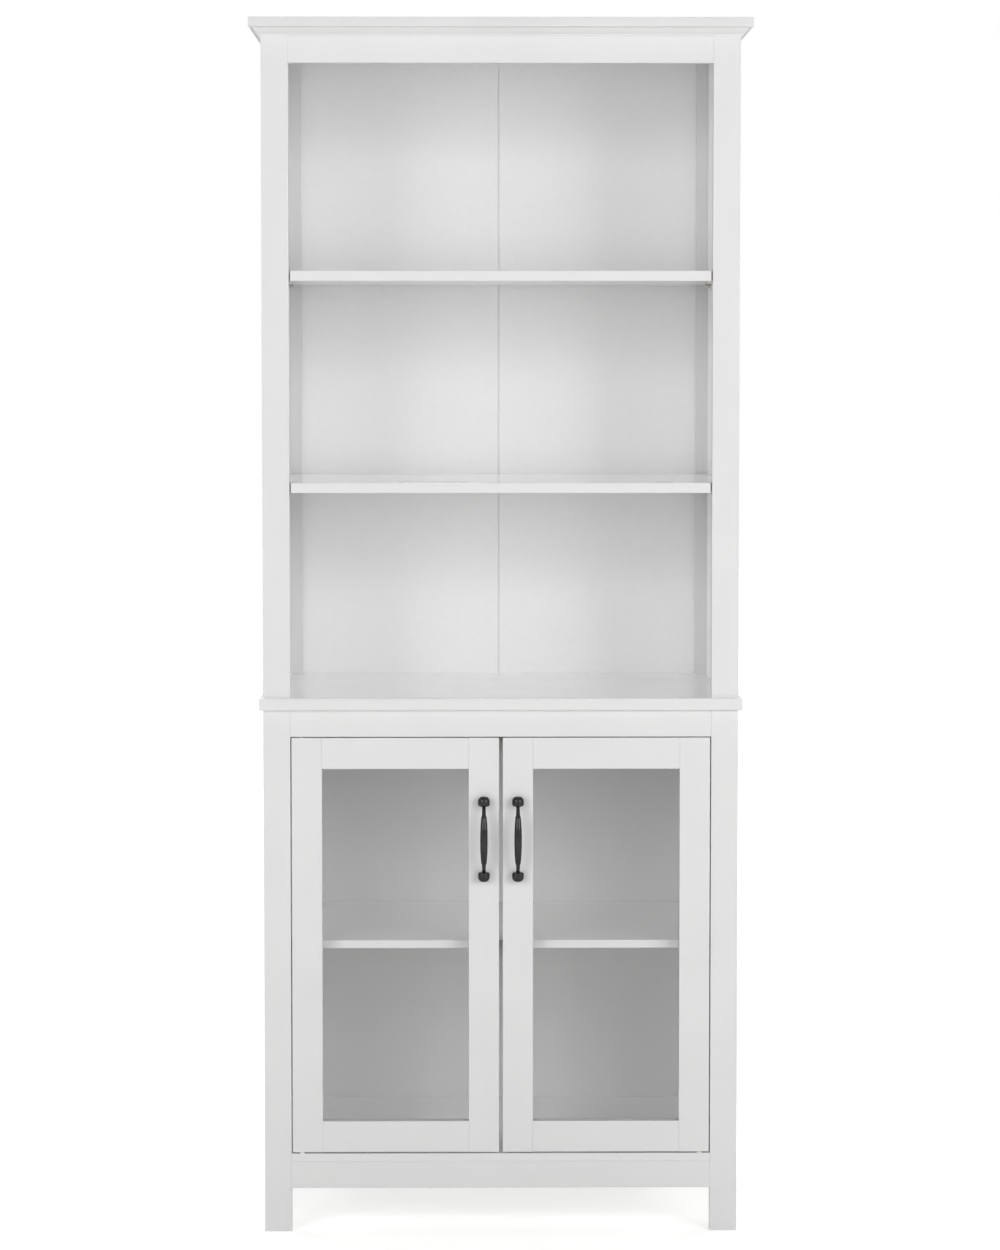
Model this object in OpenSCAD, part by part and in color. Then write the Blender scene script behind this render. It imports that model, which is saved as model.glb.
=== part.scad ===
// Two-tier hutch bookcase: an open shelf unit standing on a base with two glazed, inset doors.
// Inside the modules y = 0 is the plane of the front posts, z = 0 the floor and x = 0 the centre.
// in_place() then moves everything so that the origin is the bottom centre of the whole bookcase.

/* [Body] */
// Width over the posts of both tiers
body_w = 704; // [560:1:1000]
// Depth from the front of the posts to the back of the rear posts
body_d = 378; // [300:1:480]
// Height of the base, floor to the top of its top board
base_h = 800; // [640:1:950]
// Height of the hutch, base top board to the top of the crown
hutch_h = 1000; // [820:1:1300]

/* [Posts, rails and panels] */
// Face width of the posts and legs
post_w = 40; // [36:1:60]
// Depth of the front posts and legs
post_t = 20; // [20:1:40]
// Depth of the rear posts and legs
rear_post_t = 15; // [15:1:30]
// Height of each rail between the posts
rail_h = 40; // [38:1:70]
// Thickness of the rails
rail_t = 18; // [16:1:20]
// Thickness of the side panels
side_t = 15; // [14:0.5:18]
// How far the side panels lie inside the outer face of the posts
side_inset = 6.5; // [2:0.5:8]
// Thickness of the fibreboard backs
back_t = 3; // [3:0.5:6]
// How far the fibreboard backs stop short of the outer edges
back_margin = 4; // [1:0.5:10]
// Width of the groove along which the hutch back folds
back_seam = 0.8; // [0.4:0.1:2]
// Radius that eases the long edges of the frame pieces
arris = 0.8; // [0.4:0.1:2]

/* [Crown and base top] */
// Thickness of the crown board
crown_t = 14.5; // [10:0.5:22]
// How far the crown board stands out past the posts at each side
crown_side = 17.5; // [14:0.5:40]
// How far the crown board stands out in front of the posts
crown_front = 17.5; // [14:0.5:23]
// Thickness of the top panel under the crown board, which is also the height of the moulding
hutch_top_t = 11; // [11:0.5:18]
// How far the moulding stands out at its top
mould_out = 10.6; // [8:0.2:13]
// How far the moulding stands out at its foot
mould_foot = 1.6; // [1:0.1:3]
// Height of the plain lip above and the fillet below the moulding's curve
mould_lip = 1.8; // [1:0.1:3]
// Thickness of the base top board
base_top_t = 18; // [18:1:30]
// How far the base top board stands out past the posts at each side
base_top_side = 5.5; // [2:0.5:20]
// How far the base top board stands out in front of the posts
base_top_front = 8; // [2:0.5:20]
// Radius of the rounded edges of the two top boards
top_round = 2; // [1:0.5:4]

/* [Shelves] */
// Thickness of the hutch shelves
shelf_t = 15; // [12:1:25]
// Height of the lower hutch shelf's underside above the base top board
shelf_low = 303.5; // [200:0.5:340]
// Clear height from the upper hutch shelf to the top panel
top_bay_h = 343.5; // [250:0.5:380]
// Set-back of the hutch shelves behind the front of the posts
shelf_set = 3; // [0:0.5:12]
// Thickness of the shelf in the base
base_shelf_t = 12; // [12:1:18]
// Height of the base shelf's underside above the floor
base_shelf_z = 421; // [300:1:520]
// Set-back of the base shelf behind the front of the posts
base_shelf_set = 30; // [28:1:60]
// Gap between a shelf's ends and the side panels
shelf_gap = 1; // [0.5:0.1:2]
// Gap round the posts in a shelf's notched corners
notch_gap = 2; // [1:0.1:3]
// Diameter of the shelf pins
pin_d = 5; // [4:0.5:6]
// Length of a shelf pin inside the panel
pin_in = 9; // [7:0.5:10]
// Length of a shelf pin outside the panel
pin_out = 9.5; // [7:0.5:14]
// Diameter of the collar on a shelf pin
pin_collar_d = 7.5; // [7:0.1:9]
// Distance of the front shelf pins behind the front of the posts
pin_front = 60; // [50:1:90]
// Distance of the rear shelf pins in front of the back of the rear posts
pin_rear = 88; // [60:1:110]
// Distance between the holes in a row of shelf pin holes
pin_pitch = 32; // [25:1:40]
// Spare holes above and below each shelf pin
pin_spares = 1; // [0:1:2]

/* [Base front] */
// Clear height of the legs under the apron
leg_h = 65; // [20:1:120]
// Thickness of the floor panel of the base
floor_t = 12; // [12:0.5:18]
// Gap under the doors
gap_bottom = 2.4; // [2:0.1:4]
// Gap over the doors
gap_top = 1.4; // [1.2:0.1:4]
// Gap between each door and its leg
gap_side = 1.6; // [1.6:0.1:4]
// Gap between the two doors
gap_centre = 5.5; // [3:0.1:7]

/* [Doors] */
// Thickness of the doors
door_t = 18; // [17:0.5:20]
// Width of the stiles of the doors
frame_w = 45; // [42:1:70]
// Height of the rails of the doors
door_rail_h = 46.5; // [42:0.5:70]
// Thickness of the frame in front of the glass
glass_front = 7; // [5:0.5:8]
// Thickness of the glass
glass_t = 4; // [3:0.5:5]
// Width of the rebate that holds the glass
rebate = 8; // [6:0.5:10]
// Clearance round the glass in its rebate
glass_gap = 0.5; // [0.3:0.1:1.5]
// Distance of the pivots from the outer edge of the door
pivot_in = 14; // [13.5:0.5:18]
// Distance of the pivots from the front of the door
pivot_back = 6.5; // [6:0.5:6.5]
// Diameter of the pivot pins
pivot_d = 5; // [4:0.5:6]
// Radial running clearance of the pivot pins in their bushes
pivot_play = 0.05; // [0.02:0.01:0.1]
// Length of a pivot pin inside the rail or floor panel
pivot_seat = 11; // [8:0.5:11.5]
// Length of a pivot pin inside the door
pivot_reach = 10; // [8:0.5:11]
// Diameter of the thrust collar that carries the door
thrust_d = 10; // [8:0.5:12]
// Outer diameter of the pivot bushes
bush_d = 8; // [7.5:0.5:9]
// Depth of the pivot bushes in the door
bush_h = 12; // [11.5:0.5:16]

/* [Pulls] */
// Distance between the feet of a pull
pull_span = 112; // [80:1:160]
// Distance of the middle of the pulls below the top of the doors
pull_drop = 150; // [100:0.5:260]
// How far a pull stands out from the door
pull_out = 28; // [24:0.5:36]
// Radius of a foot
foot_r = 8.9; // [7:0.1:11]
// Length of a foot along the pull
foot_len = 15; // [12:0.5:20]
// Radius that rounds the ends of a foot
foot_round = 5; // [3:0.1:5.5]
// Diameter of the round seat that holds a foot off the door
seat_d = 11; // [9:0.5:13]
// Height of that seat under the foot
seat_h = 0.8; // [0.5:0.1:2]
// Radius of the thin neck at each foot
neck_r = 2.5; // [2:0.1:3.5]
// Radius of the thick middle of the grip
grip_r = 5.4; // [4:0.1:7]
// Diameter of the screws that hold a pull
pull_screw_d = 4; // [3.5:0.5:5]

/* [Fittings] */
// Diameter of the dowels in the carcass and the doors
dowel_d = 8; // [6:0.5:8]
// Diameter of the dowels in the ends of the rails
rail_dowel_d = 6; // [5:0.5:6]
// Diameter of a cam lock
cam_d = 15; // [12:0.5:16]
// Height of a cam lock
cam_h = 10; // [9:0.5:10.5]
// Depth of the cam bolt's axis below the open face of the cam
cam_axis = 6; // [5:0.5:7]
// Distance of the cam's centre from the joint
cam_reach = 24; // [20:1:30]
// Diameter of the cam bolt's shank
bolt_d = 6; // [5:0.5:7]
// Diameter of the cam bolt's thread
bolt_thread_d = 5; // [4:0.5:6]
// Length of the cam bolt's thread in the joining piece
bolt_thread = 9; // [8:0.5:10]
// Clearance all round the cam bolt's shank in its bore
bolt_gap = 0.5; // [0.2:0.1:1]
// Diameter of the pan-head screws
screw_d = 3.5; // [3:0.5:4]
// Length of the pan-head screws under their heads
screw_len = 13; // [10:1:14]
// Diameter of the nails that hold the fibreboard backs
nail_d = 1.6; // [1.2:0.1:2]
// Length of the nails
nail_len = 14; // [12:1:16]

/* [Hidden] */
$fn = 48;

left = -1;
right = 1;
paint = "#E4E4E2";
fibreboard = "#DCDCDA";
beech = "#C9A77C";
zinc = "#B4B4B6";
black = "#3C3C3C";
nylon = "#EDEDE8";
far = 3000;  // longer than the bookcase in every direction

// Heights
total_h = base_h + hutch_h;
top_panel_z = total_h - crown_t - hutch_top_t;
base_panel_z = base_h - base_top_t;
floor_z = leg_h + rail_h;
door_z = floor_z + floor_t + gap_bottom;
door_h = base_panel_z - rail_h - gap_top - door_z;
hutch_rail_z = top_panel_z - rail_h;
base_rail_z = base_panel_z - rail_h;

// Widths, measured from the centre
half_w = body_w / 2;
open_w = half_w - post_w;
side_out = half_w - side_inset;
side_in = side_out - side_t;
side_mid = (side_out + side_in) / 2;
door_w = open_w - gap_side - gap_centre / 2;

// Depths
rear_y = body_d - rear_post_t;
back_y = body_d + back_t;
side_d = rear_y - post_t;
pin_ys = [pin_front, body_d - pin_rear];
front_y = (pull_out - back_y) / 2;  // brings the middle of the whole depth to y = 0

module in_place() {
    translate([0, front_y, 0]) children();
}

// Pieces are drawn for the left-hand side and mirrored for the right
module on_side(side) {
    mirror([side == right ? 1 : 0, 0, 0]) children();
}

module on_both_sides() {
    for (side = [left, right]) on_side(side) children();
}

// ---- Boards ----

module box(lo, hi) {
    translate(lo) cube(hi - lo);
}

module eased_rect(w, h, r) {
    translate([r, 0]) square([w - 2 * r, h]);
    translate([0, r]) square([w, h - 2 * r]);
    for (x = [r, w - r], y = [r, h - r]) translate([x, y]) circle(r);
}

// Bars from corner lo to corner hi whose four edges along x, y or z are eased
module bar_x(lo, hi, r = arris) {
    s = hi - lo;
    translate(lo) rotate([90, 0, 90]) linear_extrude(s[0]) eased_rect(s[1], s[2], r);
}

module bar_y(lo, hi, r = arris) {
    s = hi - lo;
    translate([lo[0], hi[1], lo[2]]) rotate([90, 0, 0]) linear_extrude(s[1]) eased_rect(s[0], s[2], r);
}

module bar_z(lo, hi, r = arris) {
    s = hi - lo;
    translate(lo) linear_extrude(s[2]) eased_rect(s[0], s[1], r);
}

// A top board with rounded front and side edges
module top_board(half, front, z, t) {
    intersection() {
        bar_x([-half, -front, z], [half, back_y, z + t], top_round);
        bar_y([-half, -front, z], [half, back_y, z + t], top_round);
    }
}

// ---- Fittings, each drawn once and cut from every board that it enters ----

module rod_x(from, to, d) {
    translate(from) rotate([0, 90, 0]) cylinder(h = to - from[0], d = d);
}

module rod_y(from, to, d) {
    translate(from) rotate([-90, 0, 0]) cylinder(h = to - from[1], d = d);
}

module rod_z(from, to, d) {
    translate(from) cylinder(h = to - from[2], d = d);
}

dowel_in = 20;         // depth of a dowel in a panel's edge or a post's end
post_dowel_in = 12;    // depth of a dowel in the side of a front post, and in a rail's end
thin_dowel_in = 9;     // depth of a dowel in a rear post or the top panel
board_dowel_in = 8;    // depth of a dowel in the base top board
dowel_inset = 60;      // distance of the end dowels from the ends of a side panel
rail_dowel_pitch = 26; // distance between the dowels in a rail's end
cam_inset = 100;       // distance of the cams from the ends of a board

function spread(from, to, count) = [for (i = [0 : count - 1]) from + (to - from) * i / (count - 1)];

// Dowels between a side panel and its two posts
module side_dowels(z0, z1, count) {
    for (z = spread(z0 + dowel_inset, z1 - dowel_inset, count)) {
        rod_y([-side_mid, post_t - post_dowel_in, z], post_t + dowel_in, dowel_d);
        rod_y([-side_mid, rear_y - dowel_in, z], rear_y + thin_dowel_in, dowel_d);
    }
}

// Dowels in the ends of a rail whose underside is at z
module rail_dowels(z) {
    middle = z + rail_h / 2;
    for (up = [-rail_dowel_pitch, rail_dowel_pitch] / 2)
        rod_x([-open_w - post_dowel_in, rail_t / 2, middle + up], -open_w + post_dowel_in, rail_dowel_d);
}

// Upright dowels in the two posts, across the joint at height z
module post_dowels(z, below, above) {
    for (y = [post_t / 2, rear_y + rear_post_t / 2])
        rod_z([-half_w + post_w / 3, y, z - below], z + above, dowel_d);
}

// Upright dowels in the side panel, across the joint at height z
module panel_dowels(z, below, above) {
    for (y = spread(post_t + dowel_inset, rear_y - dowel_inset, 2))
        rod_z([-side_mid, y, z - below], z + above, dowel_d);
}

module dowel_set() {
    on_both_sides() {
        side_dowels(base_h, top_panel_z, 4);
        side_dowels(leg_h, base_panel_z, 3);
        rail_dowels(hutch_rail_z);
        rail_dowels(base_rail_z);
        rail_dowels(leg_h);
        post_dowels(top_panel_z, dowel_in, thin_dowel_in);
        post_dowels(base_panel_z, dowel_in, board_dowel_in);
        post_dowels(base_h, board_dowel_in, dowel_in);
        panel_dowels(base_h, board_dowel_in, dowel_in);
    }
}

// A cam joint's place: its origin is where the cam's axis meets the board's face,
// x points along the bolt to the joint and z out of the face
module at_cams() {
    cam_ys = spread(post_t + cam_inset, rear_y - cam_inset, 2);
    on_both_sides() {
        for (z = [top_panel_z, base_panel_z], y = cam_ys)
            translate([-side_in, y, z - cam_reach]) rotate([0, -90, 180]) children();
        for (z = [hutch_rail_z, base_rail_z, leg_h])
            translate([-open_w + cam_reach, rail_t, z + rail_h / 2]) rotate([90, 0, 180]) children();
        for (y = cam_ys)
            translate([-side_in + cam_reach, y, floor_z]) rotate([0, 180, 0]) children();
    }
}

module cam_hole() {
    translate([0, 0, -cam_h]) cylinder(h = cam_h, d = cam_d);
    rod_x([0, 0, -cam_axis], cam_reach, bolt_d + 2 * bolt_gap);
    rod_x([cam_reach, 0, -cam_axis], cam_reach + bolt_thread, bolt_thread_d);
}

module cam_lock() {
    slot = [cam_d * 0.55, 2];
    slot_h = 1.6;
    difference() {
        translate([0, 0, -cam_h]) cylinder(h = cam_h, d = cam_d);
        rod_x([0, 0, -cam_axis], cam_d, bolt_d);
        for (turn = [0, 90])
            rotate(turn) translate([0, 0, -slot_h]) linear_extrude(cam_h) square(slot, center = true);
    }
}

module cam_bolt() {
    head_end = 3;
    neck_end = 4.2;
    rod_x([0, 0, -cam_axis], head_end, bolt_d);
    rod_x([head_end, 0, -cam_axis], neck_end, bolt_d * 0.6);
    rod_x([neck_end, 0, -cam_axis], cam_reach, bolt_d);
    rod_x([cam_reach, 0, -cam_axis], cam_reach + bolt_thread, bolt_thread_d);
}

// Rows of holes for the pins, and the pins under each shelf
module pin_holes(z) {
    for (y = pin_ys, i = [-pin_spares : pin_spares])
        rod_x([-side_in - pin_in, y, z - pin_d / 2 + i * pin_pitch], -side_in, pin_d);
}

module pins_under(z) {
    collar_t = shelf_gap * 0.8;  // the collar lies in the gap beside the shelf's end
    for (y = pin_ys) {
        rod_x([-side_in - pin_in, y, z - pin_d / 2], -side_in + pin_out, pin_d);
        rod_x([-side_in, y, z - pin_d / 2], -side_in + collar_t, pin_collar_d);
    }
}

lower_shelf_z = base_h + shelf_low;
upper_shelf_z = top_panel_z - top_bay_h - shelf_t;
shelf_zs = [lower_shelf_z, upper_shelf_z, base_shelf_z];

// A pan-head screw: its head sits on the face at the origin, its shank goes along -z
screw_head_h = screw_d / 2;

module shank(len = screw_len) {
    translate([0, 0, -len]) cylinder(h = len, d = screw_d);
}

module screw(len = screw_len) {
    head_d = 2 * screw_d;
    slot = [head_d / 2, screw_d * 0.22];
    shank(len);
    difference() {
        cylinder(h = screw_head_h, d1 = head_d, d2 = head_d * 0.72);
        for (turn = [0, 90]) rotate(turn)
            translate([0, 0, screw_head_h / 3]) linear_extrude(screw_head_h) square(slot, center = true);
    }
}

// Screws up through the top panel that hold the crown board
crown_screw_len = hutch_top_t + crown_t * 0.65;
crown_screw_in = 110;  // from the sides
crown_screw_edge = 60; // from the front and the back

module at_crown_screws() {
    for (x = [-1, 0, 1] * (half_w - crown_screw_in), y = [crown_screw_edge, body_d - crown_screw_edge])
        translate([x, y, top_panel_z]) rotate([180, 0, 0]) children();
}

// Flat-headed nails, flush with the fibreboard, in the rear posts, the top panel and the floor panel
nail_head_d = 4.5;
nail_head_t = 0.8;

module nail_at(x, z) {
    rod_y([x, back_y - nail_len, z], back_y, nail_d);
    rod_y([x, back_y - nail_head_t, z], back_y, nail_head_d);
}

module nail_set() {
    post_x = -open_w - post_w / 4;
    end = 25;
    by_plate = plate_h / 2 + end;
    middle = 40;
    on_both_sides() {
        for (z = spread(plate_z + by_plate, top_panel_z - end, 8)) nail_at(post_x, z);
        for (z = spread(leg_h + end, plate_z - by_plate, 6)) nail_at(post_x, z);
        for (x = spread(post_x + 2 * end, -middle, 3)) {
            nail_at(x, top_panel_z + hutch_top_t / 2);
            nail_at(x, floor_z + floor_t / 2);
        }
    }
}

// Steel plates across the back of the joint between hutch and base
plate_w = 22;
plate_h = 96;
plate_t = back_t - screw_head_h;  // the screws' heads end flush with the fibreboard
plate_x = -half_w + post_w * 0.56;  // on the bare strip of the rear posts, beside the fibreboard
plate_z = base_h - base_top_t / 2;
plate_hole_far = 38;
plate_hole_near = 24;

module at_plate_screws() {
    on_both_sides() for (dz = [-plate_hole_far, -plate_hole_near, plate_hole_near, plate_hole_far])
        translate([plate_x, body_d + plate_t, plate_z + dz]) rotate([-90, 0, 0]) children();
}

// The double magnetic catch behind the base top rail
catch_w = 64;
catch_plate_t = 2.5;
catch_plate_h = 22;
catch_neck_h = 7;
catch_h = 18;
catch_d = 14;
catch_screw_x = catch_w * 0.38;
strike_t = 1.5;
magnet_gap = 0.3;  // between the strike plates and the magnets when the doors are shut
catch_face_y = door_t + strike_t + magnet_gap;
catch_z = base_rail_z - gap_top - catch_h;
catch_screw_z = base_rail_z + (catch_plate_h + catch_neck_h) / 2;

module at_catch_screws() {
    for (x = [-catch_screw_x, catch_screw_x])
        translate([x, rail_t + catch_plate_t, catch_screw_z]) rotate([-90, 0, 0]) children();
}

// Pivot pins: pressed into the floor panel and the top rail, turning in the bushes of the doors
pivot_x = open_w - gap_side - pivot_in;

module pivot_pin_set() {
    on_both_sides() {
        rod_z([-pivot_x, pivot_back, floor_z + floor_t - pivot_seat], door_z + pivot_reach, pivot_d);
        rod_z([-pivot_x, pivot_back, door_z + door_h - pivot_reach], base_rail_z + pivot_seat, pivot_d);
    }
}

module thrust_collars() {
    thrust_play = 0.3;  // under the bush, so that the collar and the door do not bind
    on_both_sides() translate([-pivot_x, pivot_back, floor_z + floor_t])
        cylinder(h = gap_bottom - thrust_play, d = thrust_d);
}

// Everything that is let into the carcass boards
module fitting_cuts() {
    dowel_set();
    at_cams() cam_hole();
    on_both_sides() for (z = shelf_zs) pin_holes(z);
    at_plate_screws() shank();
    at_catch_screws() shank();
    at_crown_screws() shank(crown_screw_len);
    nail_set();
    pivot_pin_set();
}

// A painted carcass board with its holes
module painted() {
    color(paint) in_place() difference() {
        children();
        fitting_cuts();
    }
}

// ---- Hutch ----

module crown_board() {
    painted() top_board(half_w + crown_side, crown_front, total_h - crown_t, crown_t);
}

// Outline of the moulding: x is the distance out from the top panel, y the height
module moulding_outline() {
    rise = hutch_top_t - 2 * mould_lip;
    bulge = 0.75;  // 1 is a straight slope, and less bulges outwards
    curve = [for (t = [0 : 0.1 : 1])
        [mould_foot + (mould_out - mould_foot) * pow(t, bulge), mould_lip + rise * t]];
    polygon(concat([[0, 0], [mould_foot, 0]], curve, [[mould_out, hutch_top_t], [0, hutch_top_t]]));
}

// The moulding mitred at its front corners; plan is the outline that the mitres leave
module mitred(plan) {
    intersection() {
        children();
        translate([0, 0, top_panel_z]) linear_extrude(hutch_top_t) polygon(plan);
    }
}

module crown_moulding_front() {
    m = mould_out;
    color(paint) in_place()
        mitred([[-half_w, 0], [half_w, 0], [half_w + m, -m], [-half_w - m, -m]])
            translate([-half_w - m, 0, top_panel_z]) rotate([90, 0, 90])
                linear_extrude(body_w + 2 * m) mirror([1, 0]) moulding_outline();
}

module crown_moulding_side(side) {
    m = mould_out;
    color(paint) in_place() on_side(side)
        mitred([[-half_w, 0], [-half_w, body_d], [-half_w - m, body_d], [-half_w - m, -m]])
            translate([-half_w, body_d, top_panel_z]) rotate([90, 0, 0])
                linear_extrude(body_d + m) mirror([1, 0]) moulding_outline();
}

module hutch_top_panel() {
    painted() box([-half_w, 0, top_panel_z], [half_w, body_d, top_panel_z + hutch_top_t]);
}

module front_rail(z) {
    painted() bar_x([-open_w, 0, z], [open_w, rail_t, z + rail_h]);
}

// Front and rear posts share their width; the legs of the base are the same pieces, longer
module front_post(side, z0, z1) {
    painted() on_side(side) bar_z([-half_w, 0, z0], [-open_w, post_t, z1]);
}

module rear_post(side, z0, z1) {
    painted() on_side(side) bar_z([-half_w, rear_y, z0], [-open_w, body_d, z1]);
}

module side_panel(side, z0, z1) {
    painted() on_side(side) bar_z([-side_out, post_t, z0], [-side_in, rear_y, z1]);
}

// Children are cut out of the leaf as well
module back_leaf(x0, x1, z0, z1) {
    color(fibreboard) in_place() difference() {
        box([x0, body_d, z0], [x1, back_y, z1]);
        plate_recess();
        nail_set();
        children();
    }
}

// The backs and the base top board stop short of the steel plates
module plate_recess() {
    clear = 1.5;
    on_both_sides()
        box([plate_x - plate_w / 2 - clear, body_d, plate_z - plate_h / 2 - clear],
            [plate_x + plate_w / 2 + clear, far, plate_z + plate_h / 2 + clear]);
}

// The two leaves meet in the middle, behind a groove that lets the back fold flat
module hutch_back(side) {
    edge = half_w - back_margin;
    z1 = top_panel_z + hutch_top_t;
    back_leaf(side == left ? -edge : 0, side == left ? 0 : edge, base_h, z1)
        box([-back_seam / 2, -far, -far], [back_seam / 2, body_d + back_t / 2, far]);
}

// A shelf from the given set-back to the back, notched round the posts
module shelf(z, t, set) {
    half = side_in - shelf_gap;
    notch = open_w - notch_gap;
    color(paint) in_place() difference() {
        bar_x([-half, set, z], [half, body_d - shelf_gap, z + t]);
        on_both_sides() {
            box([-far, -far, z - 1], [-notch, post_t + notch_gap, z + t + 1]);
            box([-far, rear_y - notch_gap, z - 1], [-notch, far, z + t + 1]);
        }
    }
}

module shelf_pins() {
    color(zinc) in_place() on_both_sides() for (z = shelf_zs) pins_under(z);
}

// ---- Base ----

module base_top_board() {
    painted() difference() {
        top_board(half_w + base_top_side, base_top_front, base_panel_z, base_top_t);
        plate_recess();
    }
}

module base_floor_panel() {
    painted() difference() {
        bar_x([-side_in, 0, floor_z], [side_in, body_d, floor_z + floor_t]);
        on_both_sides() {
            box([-far, -far, 0], [-open_w, post_t, far]);
            box([-far, rear_y, 0], [-open_w, far, far]);
        }
    }
}

module base_back_panel() {
    edge = half_w - back_margin;
    back_leaf(-edge, edge, leg_h, base_panel_z);
}

module joining_plates() {
    color(zinc) in_place() difference() {
        on_both_sides()
            bar_y([plate_x - plate_w / 2, body_d, plate_z - plate_h / 2],
                [plate_x + plate_w / 2, body_d + plate_t, plate_z + plate_h / 2], plate_w / 4);
        at_plate_screws() shank();
    }
}

// A plate on the back of the rail, and below it the block whose front holds the magnets
module magnetic_catch() {
    half = catch_w / 2;
    color(nylon) in_place() difference() {
        union() {
            box([-half, rail_t, base_rail_z], [half, rail_t + catch_plate_t, base_rail_z + catch_plate_h]);
            box([-half, rail_t, base_rail_z], [half, catch_face_y + catch_d, base_rail_z + catch_neck_h]);
            box([-half, catch_face_y, catch_z], [half, catch_face_y + catch_d, base_rail_z]);
        }
        at_catch_screws() shank();
    }
}

module carcass_screws() {
    color(zinc) in_place() {
        at_plate_screws() screw();
        at_catch_screws() screw();
        at_crown_screws() screw(crown_screw_len);
    }
}

module back_nails() {
    color(zinc) in_place() nail_set();
}

module carcass_dowels() {
    color(beech) in_place() dowel_set();
}

module cam_locks() {
    color(zinc) in_place() at_cams() cam_lock();
}

module cam_bolts() {
    color(zinc) in_place() at_cams() cam_bolt();
}

module pivot_pins() {
    color(zinc) in_place() {
        pivot_pin_set();
        thrust_collars();
    }
}

// ---- Doors: x = 0 at the hinge edge, y = 0 at the front, z = 0 at the bottom ----

module on_door(side) {
    in_place() on_side(side) translate([-open_w + gap_side, 0, door_z]) children();
}

glass_lo = [frame_w - rebate, glass_front, door_rail_h - rebate];
glass_hi = [door_w - frame_w + rebate, glass_front + glass_t, door_h - door_rail_h + rebate];

module rebate_cut() {
    box(glass_lo, [glass_hi[0], far, glass_hi[2]]);
}

module door_dowel_set() {
    depth = 18;
    solid_w = door_rail_h - rebate;  // the dowels keep clear of the rebate
    for (x = [frame_w, door_w - frame_w], in = [solid_w / 3, solid_w * 0.78], z = [in, door_h - in])
        rod_x([x - depth, door_t / 2, z], x + depth, dowel_d);
}

// The middle of the pull, on the front of the lock stile
module at_pull() {
    translate([door_w - frame_w / 2, 0, door_h - pull_drop]) children();
}

foot_zs = [-pull_span / 2, pull_span / 2];

module pull_screw_holes() {
    at_pull() for (z = foot_zs) rod_y([0, 0, z], door_t, pull_screw_d);
}

// The strike plate on the back of the lock stile, and the pin riveted to it
strike_w = 22;
strike_h = 14;
strike_pin_d = 2.5;
strike_pin_len = 9;
strike_x = door_w - strike_w / 2 - 2 * arris;
strike_z = door_h - strike_h / 2 - 2 * arris;

module strike_pin() {
    rod_y([strike_x, door_t - strike_pin_len, strike_z], door_t, strike_pin_d);
}

bush_bore = pivot_reach + 0.5;  // the bushes' bores are a little deeper than the pins

module bush_seats() {
    translate([pivot_in, pivot_back, 0]) cylinder(h = bush_h, d = bush_d);
    translate([pivot_in, pivot_back, door_h - bush_h]) cylinder(h = bush_h, d = bush_d);
}

module door_member(side) {
    color(paint) on_door(side) difference() {
        children();
        rebate_cut();
        door_dowel_set();
        pull_screw_holes();
        bush_seats();
        strike_pin();
    }
}

module hinge_stile(side) {
    door_member(side) bar_z([0, 0, 0], [frame_w, door_t, door_h]);
}

module lock_stile(side) {
    door_member(side) bar_z([door_w - frame_w, 0, 0], [door_w, door_t, door_h]);
}

module door_rail(side, z) {
    door_member(side) bar_x([frame_w, 0, z], [door_w - frame_w, door_t, z + door_rail_h]);
}

module door_glass(side) {
    c = [glass_gap, 0, glass_gap];
    color("#C8D2D2", 0.35) on_door(side) box(glass_lo + c, glass_hi - c);
}

// Four mitred strips behind the glass, flush with the back of the frame
module glass_beads(side) {
    y0 = glass_front + glass_t;
    t = door_t - y0;
    fit = 0.1;
    w = glass_hi[0] - glass_lo[0] - 2 * fit;
    h = glass_hi[2] - glass_lo[2] - 2 * fit;
    b = rebate - fit;
    saw = 0.1;  // half the width of a mitre joint
    color(paint) on_door(side)
        translate([glass_lo[0] + fit, y0 + t, glass_lo[2] + fit]) rotate([90, 0, 0]) linear_extrude(t) {
            polygon([[saw, 0], [w - saw, 0], [w - b - saw, b], [b + saw, b]]);
            polygon([[saw, h], [w - saw, h], [w - b - saw, h - b], [b + saw, h - b]]);
            polygon([[0, saw], [b, b + saw], [b, h - b - saw], [0, h - saw]]);
            polygon([[w, saw], [w - b, b + saw], [w - b, h - b - saw], [w, h - saw]]);
        }
}

module pivot_bushes(side) {
    color(nylon) on_door(side) difference() {
        bush_seats();
        for (z = [0, door_h]) translate([pivot_in, pivot_back, z])
            cylinder(h = 2 * bush_bore, d = pivot_d + 2 * pivot_play, center = true);
    }
}

module strike_plate(side) {
    color(zinc) on_door(side) {
        bar_y([strike_x - strike_w / 2, door_t, strike_z - strike_h / 2],
            [strike_x + strike_w / 2, door_t + strike_t, strike_z + strike_h / 2], strike_h / 5);
        strike_pin();
    }
}

module door_dowels(side) {
    color(beech) on_door(side) door_dowel_set();
}

// ---- Pulls: z along the pull, y = 0 on the door's front, -y outwards ----

foot_axis = foot_r + seat_h;

// A foot is a bead with rounded ends, held off the door by a round seat
module pull_foot() {
    flat = foot_r - foot_round;
    straight = foot_len / 2 - foot_round;
    translate([0, -foot_axis, 0]) rotate_extrude() {
        translate([0, -foot_len / 2]) square([flat, foot_len]);
        translate([0, -straight]) square([foot_r, 2 * straight]);
        for (s = [-1, 1]) translate([flat, s * straight]) intersection() {
            circle(foot_round);
            translate([0, -foot_round]) square(2 * foot_round);
        }
    }
    rod_y([0, -foot_axis, 0], 0, seat_d);
}

grip_sides = 16;
grip_rings = 30;
grip_in_foot = 3;  // how far the grip's ends lie inside the feet
grip_half = pull_span / 2 - foot_len / 2 + grip_in_foot;

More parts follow.
